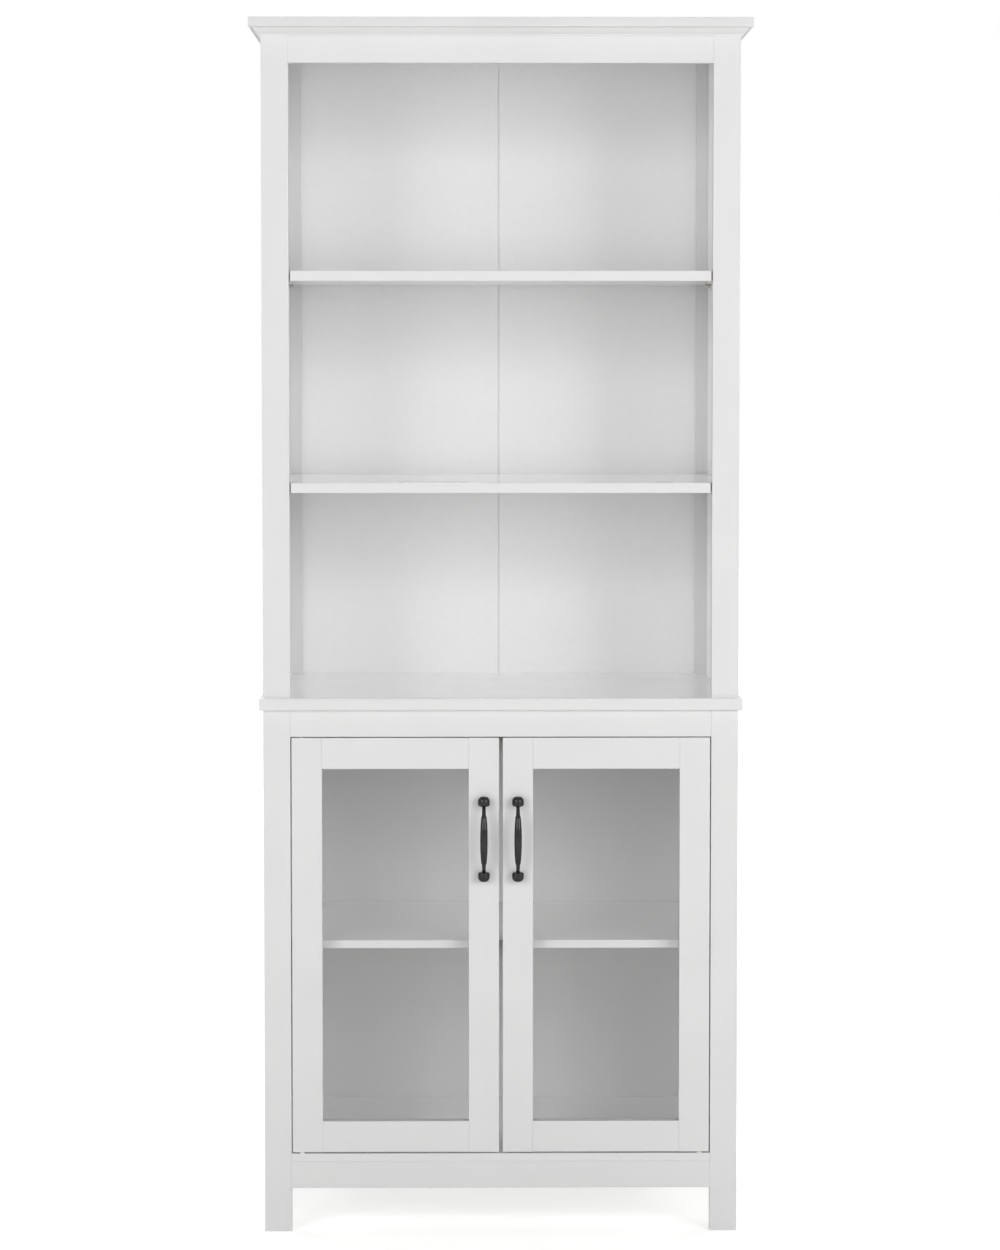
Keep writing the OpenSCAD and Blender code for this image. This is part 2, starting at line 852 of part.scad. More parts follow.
// Distance from the door and radius of the grip at height z
grip_rise = pull_out - grip_r - foot_axis;
function grip_y(z) = -foot_axis - grip_rise * (1 - pow(abs(z) / grip_half, 4));
function grip_slope(z) = 4 * grip_rise * pow(abs(z) / grip_half, 3) * sign(z) / grip_half;
function grip_radius(z) = neck_r + (grip_r - neck_r) * pow(1 - pow(z / grip_half, 2), 1.2);

// A ring of points square to the grip's curve at height z
function grip_ring(z) =
    let (tilt = atan(grip_slope(z)), r = grip_radius(z))
    [for (i = [0 : grip_sides - 1])
        let (a = 360 * i / grip_sides, out = r * sin(a))
        [r * cos(a), grip_y(z) + out * cos(tilt), z - out * sin(tilt)]];

// Rings lie closer together near the feet, where the grip bends most
function ring_z(i) = -grip_half * cos(180 * i / (grip_rings - 1)) * 0.999;

module pull_grip() {
    n = grip_sides;
    rings = [for (i = [0 : grip_rings - 1]) each grip_ring(ring_z(i))];
    walls = [for (i = [0 : grip_rings - 2], k = [0 : n - 1])
        [i * n + k, (i + 1) * n + k, (i + 1) * n + (k + 1) % n, i * n + (k + 1) % n]];
    ends = [[for (k = [0 : n - 1]) k], [for (k = [n - 1 : -1 : 0]) (grip_rings - 1) * n + k]];
    polyhedron(rings, concat(walls, ends));
}

screw_in_foot = foot_r;  // depth of the screws in the feet

module door_pull(side) {
    color(black) on_door(side) at_pull() difference() {
        union() {
            pull_grip();
            for (z = foot_zs) translate([0, 0, z]) pull_foot();
        }
        for (z = foot_zs) rod_y([0, -screw_in_foot, z], far, pull_screw_d);
    }
}

module pull_screws(side) {
    head_h = pull_screw_d * 0.55;
    slot_w = pull_screw_d / 4;
    color(zinc) on_door(side) at_pull() for (z = foot_zs) {
        rod_y([0, -screw_in_foot, z], door_t, pull_screw_d);
        difference() {
            rod_y([0, door_t, z], door_t + head_h, 2 * pull_screw_d);
            box([-pull_screw_d, door_t + head_h / 2, z - slot_w / 2], [pull_screw_d, far, z + slot_w / 2]);
        }
    }
}

crown_board();
crown_moulding_front();
crown_moulding_side(left);  // crown_moulding_left
crown_moulding_side(right);  // crown_moulding_right
hutch_top_panel();
front_rail(hutch_rail_z);  // hutch_top_rail
front_post(left, base_h, top_panel_z);  // hutch_front_post_left
front_post(right, base_h, top_panel_z);  // hutch_front_post_right
rear_post(left, base_h, top_panel_z);  // hutch_rear_post_left
rear_post(right, base_h, top_panel_z);  // hutch_rear_post_right
side_panel(left, base_h, top_panel_z);  // hutch_side_panel_left
side_panel(right, base_h, top_panel_z);  // hutch_side_panel_right
hutch_back(left);  // hutch_back_left
hutch_back(right);  // hutch_back_right
shelf(upper_shelf_z, shelf_t, shelf_set);  // hutch_shelf_upper
shelf(lower_shelf_z, shelf_t, shelf_set);  // hutch_shelf_lower
shelf_pins();
base_top_board();
front_post(left, 0, base_panel_z);  // base_front_leg_left
front_post(right, 0, base_panel_z);  // base_front_leg_right
rear_post(left, 0, base_panel_z);  // base_rear_leg_left
rear_post(right, 0, base_panel_z);  // base_rear_leg_right
side_panel(left, leg_h, base_panel_z);  // base_side_panel_left
side_panel(right, leg_h, base_panel_z);  // base_side_panel_right
front_rail(base_rail_z);  // base_top_rail
front_rail(leg_h);  // base_apron
base_floor_panel();
base_back_panel();
shelf(base_shelf_z, base_shelf_t, base_shelf_set);  // base_shelf
back_nails();
joining_plates();
magnetic_catch();
carcass_screws();
carcass_dowels();
cam_locks();
cam_bolts();
pivot_pins();
hinge_stile(left);  // door_left_hinge_stile
lock_stile(left);  // door_left_lock_stile
door_rail(left, door_h - door_rail_h);  // door_left_top_rail
door_rail(left, 0);  // door_left_bottom_rail
door_glass(left);  // door_left_glass
glass_beads(left);  // door_left_glass_beads
door_pull(left);  // door_left_pull
pull_screws(left);  // door_left_pull_screws
pivot_bushes(left);  // door_left_pivot_bushes
strike_plate(left);  // door_left_strike_plate
door_dowels(left);  // door_left_dowels
hinge_stile(right);  // door_right_hinge_stile
lock_stile(right);  // door_right_lock_stile
door_rail(right, door_h - door_rail_h);  // door_right_top_rail
door_rail(right, 0);  // door_right_bottom_rail
door_glass(right);  // door_right_glass
glass_beads(right);  // door_right_glass_beads
door_pull(right);  // door_right_pull
pull_screws(right);  // door_right_pull_screws
pivot_bushes(right);  // door_right_pivot_bushes
strike_plate(right);  // door_right_strike_plate
door_dowels(right);  // door_right_dowels
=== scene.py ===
import math

import bmesh
import bpy
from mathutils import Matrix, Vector


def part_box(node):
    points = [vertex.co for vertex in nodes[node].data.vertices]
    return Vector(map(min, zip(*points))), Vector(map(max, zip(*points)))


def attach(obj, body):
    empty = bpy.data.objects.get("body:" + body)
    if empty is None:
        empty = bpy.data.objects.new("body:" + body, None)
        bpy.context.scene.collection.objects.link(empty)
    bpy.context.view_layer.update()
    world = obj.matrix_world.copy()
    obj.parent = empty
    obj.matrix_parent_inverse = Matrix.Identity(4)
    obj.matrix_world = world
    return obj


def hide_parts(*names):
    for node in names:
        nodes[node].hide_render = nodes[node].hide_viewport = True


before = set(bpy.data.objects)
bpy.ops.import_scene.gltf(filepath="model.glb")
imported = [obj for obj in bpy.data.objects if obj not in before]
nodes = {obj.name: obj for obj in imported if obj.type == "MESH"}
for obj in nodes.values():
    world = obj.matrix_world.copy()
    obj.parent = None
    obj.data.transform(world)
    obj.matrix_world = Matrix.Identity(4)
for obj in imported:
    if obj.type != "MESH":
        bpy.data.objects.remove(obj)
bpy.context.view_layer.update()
scene = bpy.context.scene
mm = 0.001
print("bookcase loaded,", len(nodes), "pieces")


# turns an sRGB hex colour into the linear one that shaders take
def linear(hexColour):
    parts = [int(hexColour[i:i + 2], 16) / 255 for i in (1, 3, 5)]
    parts = [c / 12.92 if c <= 0.04045 else ((c + 0.055) / 1.055) ** 2.4 for c in parts]
    return (*parts, 1)


# adds a node, sets its options and its sockets' values, and links other nodes' outputs to it
def addNode(tree, kind, settings=None, links=None):
    node = tree.nodes.new(kind)
    for name, value in (settings or {}).items():
        if isinstance(name, str) and hasattr(node, name):
            setattr(node, name, value)
        else:
            node.inputs[name].default_value = value
    for name, socket in (links or {}).items():
        tree.links.new(socket, node.inputs[name])
    return node


# an empty node material, with its output node and the coordinates of the pieces in metres
def newMaterial(name):
    material = bpy.data.materials.new(name)
    material.use_nodes = True
    tree = material.node_tree
    tree.nodes.clear()
    output = addNode(tree, "ShaderNodeOutputMaterial")
    place = addNode(tree, "ShaderNodeTexCoord").outputs["Object"]
    return material, tree, output, place


# the camera stands in front, a little left of the middle and well above half height, and looks
# slightly down
cameraValues = {
    "lens": 95.52,              # mm
    "sensorWidth": 36,          # mm
    "distance": 4.8911,         # m in front of the posts
    "sideways": -0.0451,        # m, towards the left
    "height": 1.3129,           # m above the floor
    "tiltDown": 3.261,          # degrees
    "turnRight": 0.513,         # degrees
    "shiftY": -0.068,
}


def makeCamera():
    values = cameraValues
    data = bpy.data.cameras.new("camera")
    data.lens = values["lens"]
    data.sensor_width = values["sensorWidth"]
    data.shift_y = values["shiftY"]
    camera = bpy.data.objects.new("camera", data)
    scene.collection.objects.link(camera)
    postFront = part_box("hutch_front_post_left")[0].y
    camera.location = (values["sideways"], postFront - values["distance"], values["height"])
    camera.rotation_euler = (math.radians(90 - values["tiltDown"]), 0,
                             math.radians(-values["turnRight"]))
    scene.camera = camera


makeCamera()

# Soft boxes as in a small product studio: a tall one on a stand at each side in front, a weaker
# one further round on the right, a small weak one high over the camera for the shine of the black
# pulls, two that keep the sides and the back from going dark, and one over the crown.
# "at" is the middle of each, "size" its width and height, all in m, and "power" is in W.
lampValues = {
    "leftStand": {"at": (-2.7, -3.7, 1.8), "aim": (0, 0, 1.0), "size": (2.2, 2.4), "power": 89},
    "rightStand": {"at": (2.7, -3.7, 1.8), "aim": (0, 0, 1.0), "size": (2.2, 2.4), "power": 84},
    "rightFill": {"at": (4.0, -2.8, 1.8), "aim": (0, 0, 1.0), "size": (2.4, 2.6), "power": 39},
    "highCentre": {"at": (0, -4.5, 2.9), "aim": (0, 0, 1.0), "size": (1.6, 0.9), "power": 14},
    "backLeft": {"at": (-3.8, 2.6, 1.2), "aim": (0, 0, 0.9), "size": (2.4, 2.2), "power": 74},
    "backRight": {"at": (3.8, 2.6, 1.2), "aim": (0, 0, 0.9), "size": (2.4, 2.2), "power": 74},
    "overhead": {"at": (0, 0.9, 4.4), "aim": (0, 0, 1.8), "size": (2.0, 2.0), "power": 76},
}


def makeLamps():
    for name, values in lampValues.items():
        data = bpy.data.lights.new(name, "AREA")
        data.shape = "RECTANGLE"
        data.size, data.size_y = values["size"]
        data.energy = values["power"]
        lamp = bpy.data.objects.new(name, data)
        scene.collection.objects.link(lamp)
        lamp.location = values["at"]
        towards = Vector(values["aim"]) - lamp.location
        lamp.rotation_euler = towards.to_track_quat("-Z", "Y").to_euler()
        lamp.visible_camera = False


makeLamps()

stageValues = {
    "floorColour": "#E4E4E2",
    "floorWidth": 30,           # m
    "floorDrop": 0.5 * mm,      # so that the floor and the soles of the feet don't lie in one plane
    "floorGlow": 0.56,          # white that the floor adds near the bookcase, where it is looked at
    "farGlow": 1.0,             # and further off, where less of the lamps' light falls
    "nearEnds": 0.8,            # m from the middle of the bookcase
    "farStarts": 3.5,           # m
    "floorBounce": 0.05,        # what the floor adds to the light that surfaces gather
    "roomBounce": 0.05,         # and the same for the white room around it
}


# 1 for rays from the eye, also by way of metal and glass, and 0 for light that surfaces gather
def lookedAt(tree):
    rays = addNode(tree, "ShaderNodeLightPath")
    seen = addNode(tree, "ShaderNodeMath", {"operation": "MAXIMUM"},
                   {0: rays.outputs["Is Camera Ray"], 1: rays.outputs["Is Glossy Ray"]})
    seen = addNode(tree, "ShaderNodeMath", {"operation": "MAXIMUM"},
                   {0: seen.outputs[0], 1: rays.outputs["Is Transmission Ray"]})
    direct = addNode(tree, "ShaderNodeMath", {"operation": "LESS_THAN", 1: 0.5},
                     {0: rays.outputs["Diffuse Depth"]})
    both = addNode(tree, "ShaderNodeMath", {"operation": "MULTIPLY"},
                   {0: seen.outputs[0], 1: direct.outputs[0]})
    return both.outputs[0]


def makeStage():
    values = stageValues
    world = bpy.data.worlds.new("studio")
    scene.world = world
    world.use_nodes = True
    tree = world.node_tree
    tree.nodes.clear()
    level = addNode(tree, "ShaderNodeMapRange", {"To Min": values["roomBounce"]},
                    {"Value": lookedAt(tree)})
    room = addNode(tree, "ShaderNodeBackground", {"Color": linear("#FFFFFF")},
                   {"Strength": level.outputs["Result"]})
    addNode(tree, "ShaderNodeOutputWorld", None, {"Surface": room.outputs[0]})

    # pale matt paper: the lamps light it, so that it keeps the shadow, and a glow lifts it to
    # white where it is looked at
    material, tree, output, place = newMaterial("matt_paper_floor")
    away = addNode(tree, "ShaderNodeVectorMath", {"operation": "LENGTH"}, {0: place})
    white = addNode(tree, "ShaderNodeMapRange",
                    {"From Min": values["nearEnds"], "From Max": values["farStarts"],
                     "To Min": values["floorGlow"], "To Max": values["farGlow"]},
                    {"Value": away.outputs["Value"]})
    glow = addNode(tree, "ShaderNodeMapRange", {"To Min": values["floorBounce"]},
                   {"Value": lookedAt(tree), "To Max": white.outputs["Result"]})
    lift = addNode(tree, "ShaderNodeEmission", {"Color": linear("#FFFFFF")},
                   {"Strength": glow.outputs["Result"]})
    paper = addNode(tree, "ShaderNodeBsdfDiffuse", {"Color": linear(values["floorColour"])})
    both = addNode(tree, "ShaderNodeAddShader", None, {0: paper.outputs[0], 1: lift.outputs[0]})
    tree.links.new(both.outputs[0], output.inputs["Surface"])

    mesh = bpy.data.meshes.new("floor")
    shape = bmesh.new()
    bmesh.ops.create_grid(shape, x_segments=1, y_segments=1, size=values["floorWidth"] / 2)
    shape.to_mesh(mesh)
    shape.free()
    mesh.materials.append(material)
    floor = bpy.data.objects.new("floor", mesh)
    scene.collection.objects.link(floor)
    floor.location.z = -values["floorDrop"]


makeStage()
scene.view_settings.view_transform = "Standard"
print("camera, lamps and floor are in place")

patternSpread = (0.3, 0.7)      # levels that a noise pattern nearly always stays between


# what ends every opaque material: a roughness that follows one pattern, a fine relief that follows
# another, and the shader that they go to; "relief" holds its strength and its depth
def addSkin(tree, output, settings, colour, pattern, height, values, spread=patternSpread):
    low, high = values["roughness"]
    strength, depth = values["relief"]
    shine = addNode(tree, "ShaderNodeMapRange",
                    {"From Min": spread[0], "From Max": spread[1], "To Min": low, "To Max": high},
                    {"Value": pattern})
    relief = addNode(tree, "ShaderNodeBump", {"Strength": strength, "Distance": depth},
                     {"Height": height})
    skin = addNode(tree, "ShaderNodeBsdfPrincipled", settings,
                   {"Base Color": colour, "Roughness": shine.outputs["Result"],
                    "Normal": relief.outputs["Normal"]})
    tree.links.new(skin.outputs[0], output.inputs["Surface"])
    return skin, shine


# Satin lacquer sprayed on primed MDF. A smooth even white with a soft wide shine. The spray leaves
# a faint orange peel, and the sanded primer under it leaves weak streaks along each member.
lacquerValues = {
    "colour": "#DADADA",
    "shade": "#D7D7D7",         # where the coat is thinner
    "thinned": (0.45, 0.85),    # levels of the pattern where the shade starts and is full
    "cloudSize": 140 * mm,      # patches of thinner coat
    "streakLength": 90 * mm,
    "streakWidth": 2.2 * mm,    # sanding lines are finer, and are drawn coarse enough to show
    "streakColour": 0.3,        # how much the streaks add to the patches
    "streakRelief": 0.35,       # and to the orange peel
    "peelSize": 2.4 * mm,       # orange peel, twice as coarse as it is so that it shows
    "relief": (0.5, 0.012 * mm),
    "roughness": (0.36, 0.46),
    "ior": 1.47,
    "specular": 0.45,
}

# the crown's board, whose top nobody sees, has a thin dull coat
thinLacquerValues = {**lacquerValues, "roughness": (0.7, 0.8)}


def makeLacquer(name, along, values):
    material, tree, output, place = newMaterial(name)
    clouds = addNode(tree, "ShaderNodeTexNoise",
                     {"Scale": 1 / values["cloudSize"], "Detail": 3, "Roughness": 0.5},
                     {"Vector": place})
    stretch = [1 / values["streakWidth"]] * 3
    stretch["xyz".index(along)] = 1 / values["streakLength"]
    lengthened = addNode(tree, "ShaderNodeMapping", {"Scale": stretch}, {"Vector": place})
    streaks = addNode(tree, "ShaderNodeTexNoise", {"Scale": 1, "Detail": 2, "Roughness": 0.6},
                      {"Vector": lengthened.outputs[0]})
    peel = addNode(tree, "ShaderNodeTexNoise", {"Scale": 1 / values["peelSize"], "Detail": 1},
                   {"Vector": place})

    thin = addNode(tree, "ShaderNodeMath",
                   {"operation": "MULTIPLY_ADD", 1: values["streakColour"]},
                   {0: streaks.outputs["Fac"], 2: clouds.outputs["Fac"]})
    starts, full = values["thinned"]
    share = addNode(tree, "ShaderNodeMapRange", {"From Min": starts, "From Max": full},
                    {"Value": thin.outputs[0]})
    tint = addNode(tree, "ShaderNodeMix",
                   {"data_type": "RGBA", 6: linear(values["colour"]), 7: linear(values["shade"])},
                   {0: share.outputs["Result"]})
    height = addNode(tree, "ShaderNodeMath",
                     {"operation": "MULTIPLY_ADD", 1: values["streakRelief"]},
                     {0: streaks.outputs["Fac"], 2: peel.outputs["Fac"]})
    addSkin(tree, output, {"IOR": values["ior"], "Specular IOR Level": values["specular"]},
            tint.outputs[2], clouds.outputs["Fac"], height.outputs[0], values)
    return material


# White melamine faced board for the shelves and tops. A shade cleaner than the sprayed frame,
# smooth, with a sheen along its surface and the fine even grain of its press plate. Its faces
# inside the bays are painted paler than its outer faces and front edges, painted light that lifts
# the shaded insides.
melamineValues = {
    "colour": "#FAFAFA",
    "shade": "#F8F8F8",
    "edge": "#DADADA",          # front edges and outer faces a shade deeper: partly real glued edging, partly painted shade against the paler insides
    "flecked": (0.35, 0.7),     # levels of the pattern where the shade starts and is full
    "fleckSize": 120 * mm,
    "fleckDetail": 1,
    "grainSize": 1.5 * mm,      # the press plate is finer, and is drawn coarse enough to show
    "relief": (0.5, 0.0002 * mm),
    "roughness": (0.22, 0.25),
    "edgeRoughness": 0.42,
    "ior": 1.47,
    "specular": 0.45,
    "topCoat": 0.8,             # the clear resin over the paper, which the edging lacks
    "topCoatRoughness": 0.12,
}

# the same board with a matt face, for the side panels
mattBoardValues = {
    "colour": "#FAFAFA",
    "shade": "#F8F8F8",
    # front edges and outer faces a shade deeper: painted shade against the paler insides, and real
    # edging on the front
    "edge": "#DADADA",
    "flecked": (0.35, 0.7),
    "fleckSize": 25 * mm,
    "fleckDetail": 4,
    "grainSize": 1.5 * mm,
    "relief": (0.5, 0.008 * mm),
    "roughness": (0.58, 0.66),
    "edgeRoughness": 0.6,
    "ior": 1.47,
    "specular": 0.45,
}

# White paper foil glued on thin hardboard. Flatter than the boards, with a fine even paper tooth.
foilValues = {
    "colour": "#F2F2F2",
    "shade": "#F0F0F0",
    "flecked": (0.35, 0.7),
    "fleckSize": 9 * mm,
    "fleckDetail": 4,
    "grainSize": 1.6 * mm,      # paper fibres are finer, and are drawn coarse enough to show
    "relief": (0.5, 0.01 * mm),
    "roughness": (0.52, 0.62),
    "ior": 1.47,
    "specular": 0.45,
}

# the same hardboard, greyed behind the doors: painted shade for the dim inside of the closed
# cabinet
darkenedFoilValues = {**foilValues, "colour": "#DFDFDF", "shade": "#DCDCDC"}


# 1 on a board's front edge and on faces that look away from the middle, and 0 elsewhere
def edgedFaces(tree, place):
    facing = addNode(tree, "ShaderNodeSeparateXYZ", None, {0: place.node.outputs["Normal"]})
    spot = addNode(tree, "ShaderNodeSeparateXYZ", None, {0: place})
    outwards = addNode(tree, "ShaderNodeMath", {"operation": "MULTIPLY"},
                       {0: facing.outputs["X"], 1: spot.outputs["X"]})
    outer, front = (0.1, 0.2), (-0.5, -0.8)     # m from the middle, and the normal's forward part
    isOuter = addNode(tree, "ShaderNodeMapRange", {"From Min": outer[0], "From Max": outer[1]},
                      {"Value": outwards.outputs[0]})
    isFront = addNode(tree, "ShaderNodeMapRange", {"From Min": front[0], "From Max": front[1]},
                      {"Value": facing.outputs["Y"]})
    either = addNode(tree, "ShaderNodeMath", {"operation": "MAXIMUM"},
                     {0: isOuter.outputs["Result"], 1: isFront.outputs["Result"]})
    return either.outputs[0]


def makeFacedBoard(name, values):
    material, tree, output, place = newMaterial(name)
    flecks = addNode(tree, "ShaderNodeTexNoise",
                     {"Scale": 1 / values["fleckSize"], "Detail": values["fleckDetail"],
                      "Roughness": 0.6}, {"Vector": place})
    grain = addNode(tree, "ShaderNodeTexNoise", {"Scale": 1 / values["grainSize"], "Detail": 2},
                    {"Vector": place})
    starts, full = values["flecked"]
    share = addNode(tree, "ShaderNodeMapRange", {"From Min": starts, "From Max": full},
                    {"Value": flecks.outputs["Fac"]})
    tint = addNode(tree, "ShaderNodeMix",
                   {"data_type": "RGBA", 6: linear(values["colour"]), 7: linear(values["shade"])},
                   {0: share.outputs["Result"]})
    # front edges and faces turned away from the middle take the deeper colour: painted shade
    # against the paler insides; the front edges are also real edging, duller and without the top
    # coat
    if "edge" in values:
        edgeOrOuterFace = edgedFaces(tree, place)
        tint = addNode(tree, "ShaderNodeMix", {"data_type": "RGBA", 7: linear(values["edge"])},
                       {0: edgeOrOuterFace, 6: tint.outputs[2]})
    resin = {"IOR": values["ior"], "Specular IOR Level": values["specular"]}
    if "topCoat" in values:
        resin["Coat Roughness"] = values["topCoatRoughness"]
    skin, shine = addSkin(tree, output, resin, tint.outputs[2], flecks.outputs["Fac"],
                          grain.outputs["Fac"], values)
    if "edge" in values:
        dull = addNode(tree, "ShaderNodeMapRange", {"To Max": values["edgeRoughness"]},
                       {"Value": edgeOrOuterFace})
        shine = addNode(tree, "ShaderNodeMath", {"operation": "MAXIMUM"},
                        {0: shine.outputs["Result"], 1: dull.outputs["Result"]})
        tree.links.new(shine.outputs[0], skin.inputs["Roughness"])
    if "topCoat" in values:
        coat = addNode(tree, "ShaderNodeMapRange", {"To Min": values["topCoat"], "To Max": 0},
                       {"Value": edgeOrOuterFace})
        tree.links.new(coat.outputs["Result"], skin.inputs["Coat Weight"])
    return material


# Clear float glass, 4 mm. Flat and almost colourless, with a weak wipe mark here and there in
# its shine.
glassValues = {
    "colour": "#FDFDFD",
    "smearSize": 60 * mm,
    "smeared": (0.5, 0.75),     # levels of the pattern where a wipe mark starts and is full
    "roughness": (0.0, 0.03),
    "ior": 1.52,
    "letThrough": "#F6F6F6",    # what each face passes of the light that falls on things inside
}


def makeGlass():
    values = glassValues
    material, tree, output, place = newMaterial("clear_float_glass")
    smears = addNode(tree, "ShaderNodeTexNoise",
                     {"Scale": 1 / values["smearSize"], "Detail": 3, "Distortion": 0.6},
                     {"Vector": place})
    starts, full = values["smeared"]
    low, high = values["roughness"]
    shine = addNode(tree, "ShaderNodeMapRange",
                    {"From Min": starts, "From Max": full, "To Min": low, "To Max": high},
                    {"Value": smears.outputs["Fac"]})
    pane = addNode(tree, "ShaderNodeBsdfPrincipled",
                   {"Base Color": linear(values["colour"]), "IOR": values["ior"],
                    "Transmission Weight": 1}, {"Roughness": shine.outputs["Result"]})
    clear = addNode(tree, "ShaderNodeBsdfTransparent", {"Color": linear(values["letThrough"])})
    # light on its way to the things inside goes straight through, so that it isn't counted twice
    rays = addNode(tree, "ShaderNodeLightPath")
    passing = addNode(tree, "ShaderNodeMath", {"operation": "MAXIMUM"},
                      {0: rays.outputs["Is Shadow Ray"], 1: rays.outputs["Is Diffuse Ray"]})
    both = addNode(tree, "ShaderNodeMixShader", None,
                   {0: passing.outputs[0], 1: pane.outputs[0], 2: clear.outputs[0]})
    tree.links.new(both.outputs[0], output.inputs["Surface"])
    return material


# Zinc die castings under black lacquer. A near-black with a soft shine and a slightly pebbled skin.
blackValues = {
    "colour": "#161616",
    "worn": "#202020",
    "wearSize": 9 * mm,
    "wornAt": (0.45, 0.75),     # levels of the pattern where the wear starts and is full
    "pebbleSize": 1.1 * mm,
    "relief": (0.6, 0.012 * mm),
    "roughness": (0.12, 0.18),
    "ior": 1.5,
    "specular": 0.3,
}


def makeBlackLacquer():
    values = blackValues
    material, tree, output, place = newMaterial("black_lacquered_zinc_casting")
    pebbles = addNode(tree, "ShaderNodeTexNoise", {"Scale": 1 / values["pebbleSize"], "Detail": 2},
                      {"Vector": place})
    wear = addNode(tree, "ShaderNodeTexNoise",
                   {"Scale": 1 / values["wearSize"], "Detail": 4, "Roughness": 0.6},
                   {"Vector": place})
    starts, full = values["wornAt"]
    share = addNode(tree, "ShaderNodeMapRange", {"From Min": starts, "From Max": full},
                    {"Value": wear.outputs["Fac"]})
    tint = addNode(tree, "ShaderNodeMix",
                   {"data_type": "RGBA", 6: linear(values["colour"]), 7: linear(values["worn"])},
                   {0: share.outputs["Result"]})
    addSkin(tree, output, {"IOR": values["ior"], "Specular IOR Level": values["specular"]},
            tint.outputs[2], wear.outputs["Fac"], pebbles.outputs["Fac"], values)
    return material


# Turned beech dowels. Pale pinkish brown with short dark flecks along the grain.
beechValues = {
    "colour": "#D9B48C",
    "late": "#C39467",
    "fleck": "#9C6B45",
    "fleckAt": (0.6, 0.72),     # levels of the pattern where a fleck starts and is full
    "ringWidth": 1.6 * mm,
    "fleckLength": 3 * mm,
    "fleckWidth": 0.35 * mm,
    "relief": (0.6, 0.05 * mm),
    "roughness": (0.55, 0.7),
    "ior": 1.5,
}


def makeBeech():
    values = beechValues
    material, tree, output, place = newMaterial("turned_beech")
    rings = addNode(tree, "ShaderNodeTexNoise", {"Scale": 1 / values["ringWidth"], "Detail": 2},
                    {"Vector": place})
    stretch = (1 / values["fleckLength"], 1 / values["fleckWidth"], 1 / values["fleckWidth"])
    lengthened = addNode(tree, "ShaderNodeMapping", {"Scale": stretch}, {"Vector": place})
    flecks = addNode(tree, "ShaderNodeTexNoise", {"Scale": 1, "Detail": 1},
                     {"Vector": lengthened.outputs[0]})
    wood = addNode(tree, "ShaderNodeMix",
                   {"data_type": "RGBA", 6: linear(values["colour"]), 7: linear(values["late"])},
                   {0: rings.outputs["Fac"]})
    starts, full = values["fleckAt"]
    dark = addNode(tree, "ShaderNodeMapRange", {"From Min": starts, "From Max": full},
                   {"Value": flecks.outputs["Fac"]})
    tint = addNode(tree, "ShaderNodeMix", {"data_type": "RGBA", 7: linear(values["fleck"])},
                   {0: dark.outputs["Result"], 6: wood.outputs[2]})
    addSkin(tree, output, {"IOR": values["ior"]}, tint.outputs[2], flecks.outputs["Fac"],
            flecks.outputs["Fac"], values, (0, 1))
    return material


# The small fittings share one make: colour, how coarse the skin is, and how it shines.
fittingValues = {
    # raw zinc as it leaves the die: dull grey with a cloudy skin
    "die_cast_zinc": {
        "colour": "#A6A7A8", "shade": "#8B8C8E", "grain": 0.9 * mm, "detail": 4, "harshness": 0.6,
        "relief": (0.5, 0.03 * mm), "roughness": (0.42, 0.58), "shader": {"Metallic": 1}},
    # bright nickel on drawn steel: light, slightly warm, with a fine skin
    "nickel_plated_steel": {
        "colour": "#CFCBC4", "shade": "#B9B5AE", "grain": 0.5 * mm, "detail": 4, "harshness": 0.6,
        "relief": (0.5, 0.008 * mm), "roughness": (0.2, 0.32), "shader": {"Metallic": 1}},
    # zinc plate with a clear passivate: bluish with faint cloudy patches
    "zinc_plated_steel": {
        "colour": "#BEC3C6", "shade": "#A9AFB0", "grain": 1.4 * mm, "detail": 4, "harshness": 0.6,
        "relief": (0.5, 0.015 * mm), "roughness": (0.3, 0.45), "shader": {"Metallic": 1}},
    # injection moulded nylon: milky white, waxy, with a fine spark-eroded tool texture
    "moulded_white_nylon": {
        "colour": "#ECEBE6", "shade": "#E2E1DB", "grain": 0.6 * mm, "detail": 3, "harshness": 0.5,
        "relief": (0.4, 0.02 * mm), "roughness": (0.42, 0.55), "shader": {"IOR": 1.53}},
}


def makeFitting(name):
    values = fittingValues[name]
    material, tree, output, place = newMaterial(name)
    grain = addNode(tree, "ShaderNodeTexNoise",
                    {"Scale": 1 / values["grain"], "Detail": values["detail"],
                     "Roughness": values["harshness"]}, {"Vector": place})
    tint = addNode(tree, "ShaderNodeMix",
                   {"data_type": "RGBA", 6: linear(values["colour"]), 7: linear(values["shade"])},
                   {0: grain.outputs["Fac"]})
    addSkin(tree, output, values["shader"], tint.outputs[2], grain.outputs["Fac"],
            grain.outputs["Fac"], values)
    return material


finishes = {
    "lacquerUpright": makeLacquer("satin_white_lacquer_upright", "z", lacquerValues),
    "lacquerAcross": makeLacquer("satin_white_lacquer_across", "x", lacquerValues),
    "lacquerFrontToBack": makeLacquer("satin_white_lacquer_front_to_back", "y", lacquerValues),
    "thinLacquer": makeLacquer("thin_dull_white_lacquer", "x", thinLacquerValues),
    "board": makeFacedBoard("white_melamine_faced_board", melamineValues),
    "mattBoard": makeFacedBoard("matt_white_melamine_board", mattBoardValues),
    "foil": makeFacedBoard("white_foil_on_hardboard", foilValues),
    "darkenedFoil": makeFacedBoard("foil_on_hardboard_with_painted_shade", darkenedFoilValues),
    "glass": makeGlass(),
    "black": makeBlackLacquer(),
    "beech": makeBeech(),
    "dieCast": makeFitting("die_cast_zinc"),
    "nickel": makeFitting("nickel_plated_steel"),
    "zincPlate": makeFitting("zinc_plated_steel"),
    "nylon": makeFitting("moulded_white_nylon"),
}
print("materials made:", len(finishes))

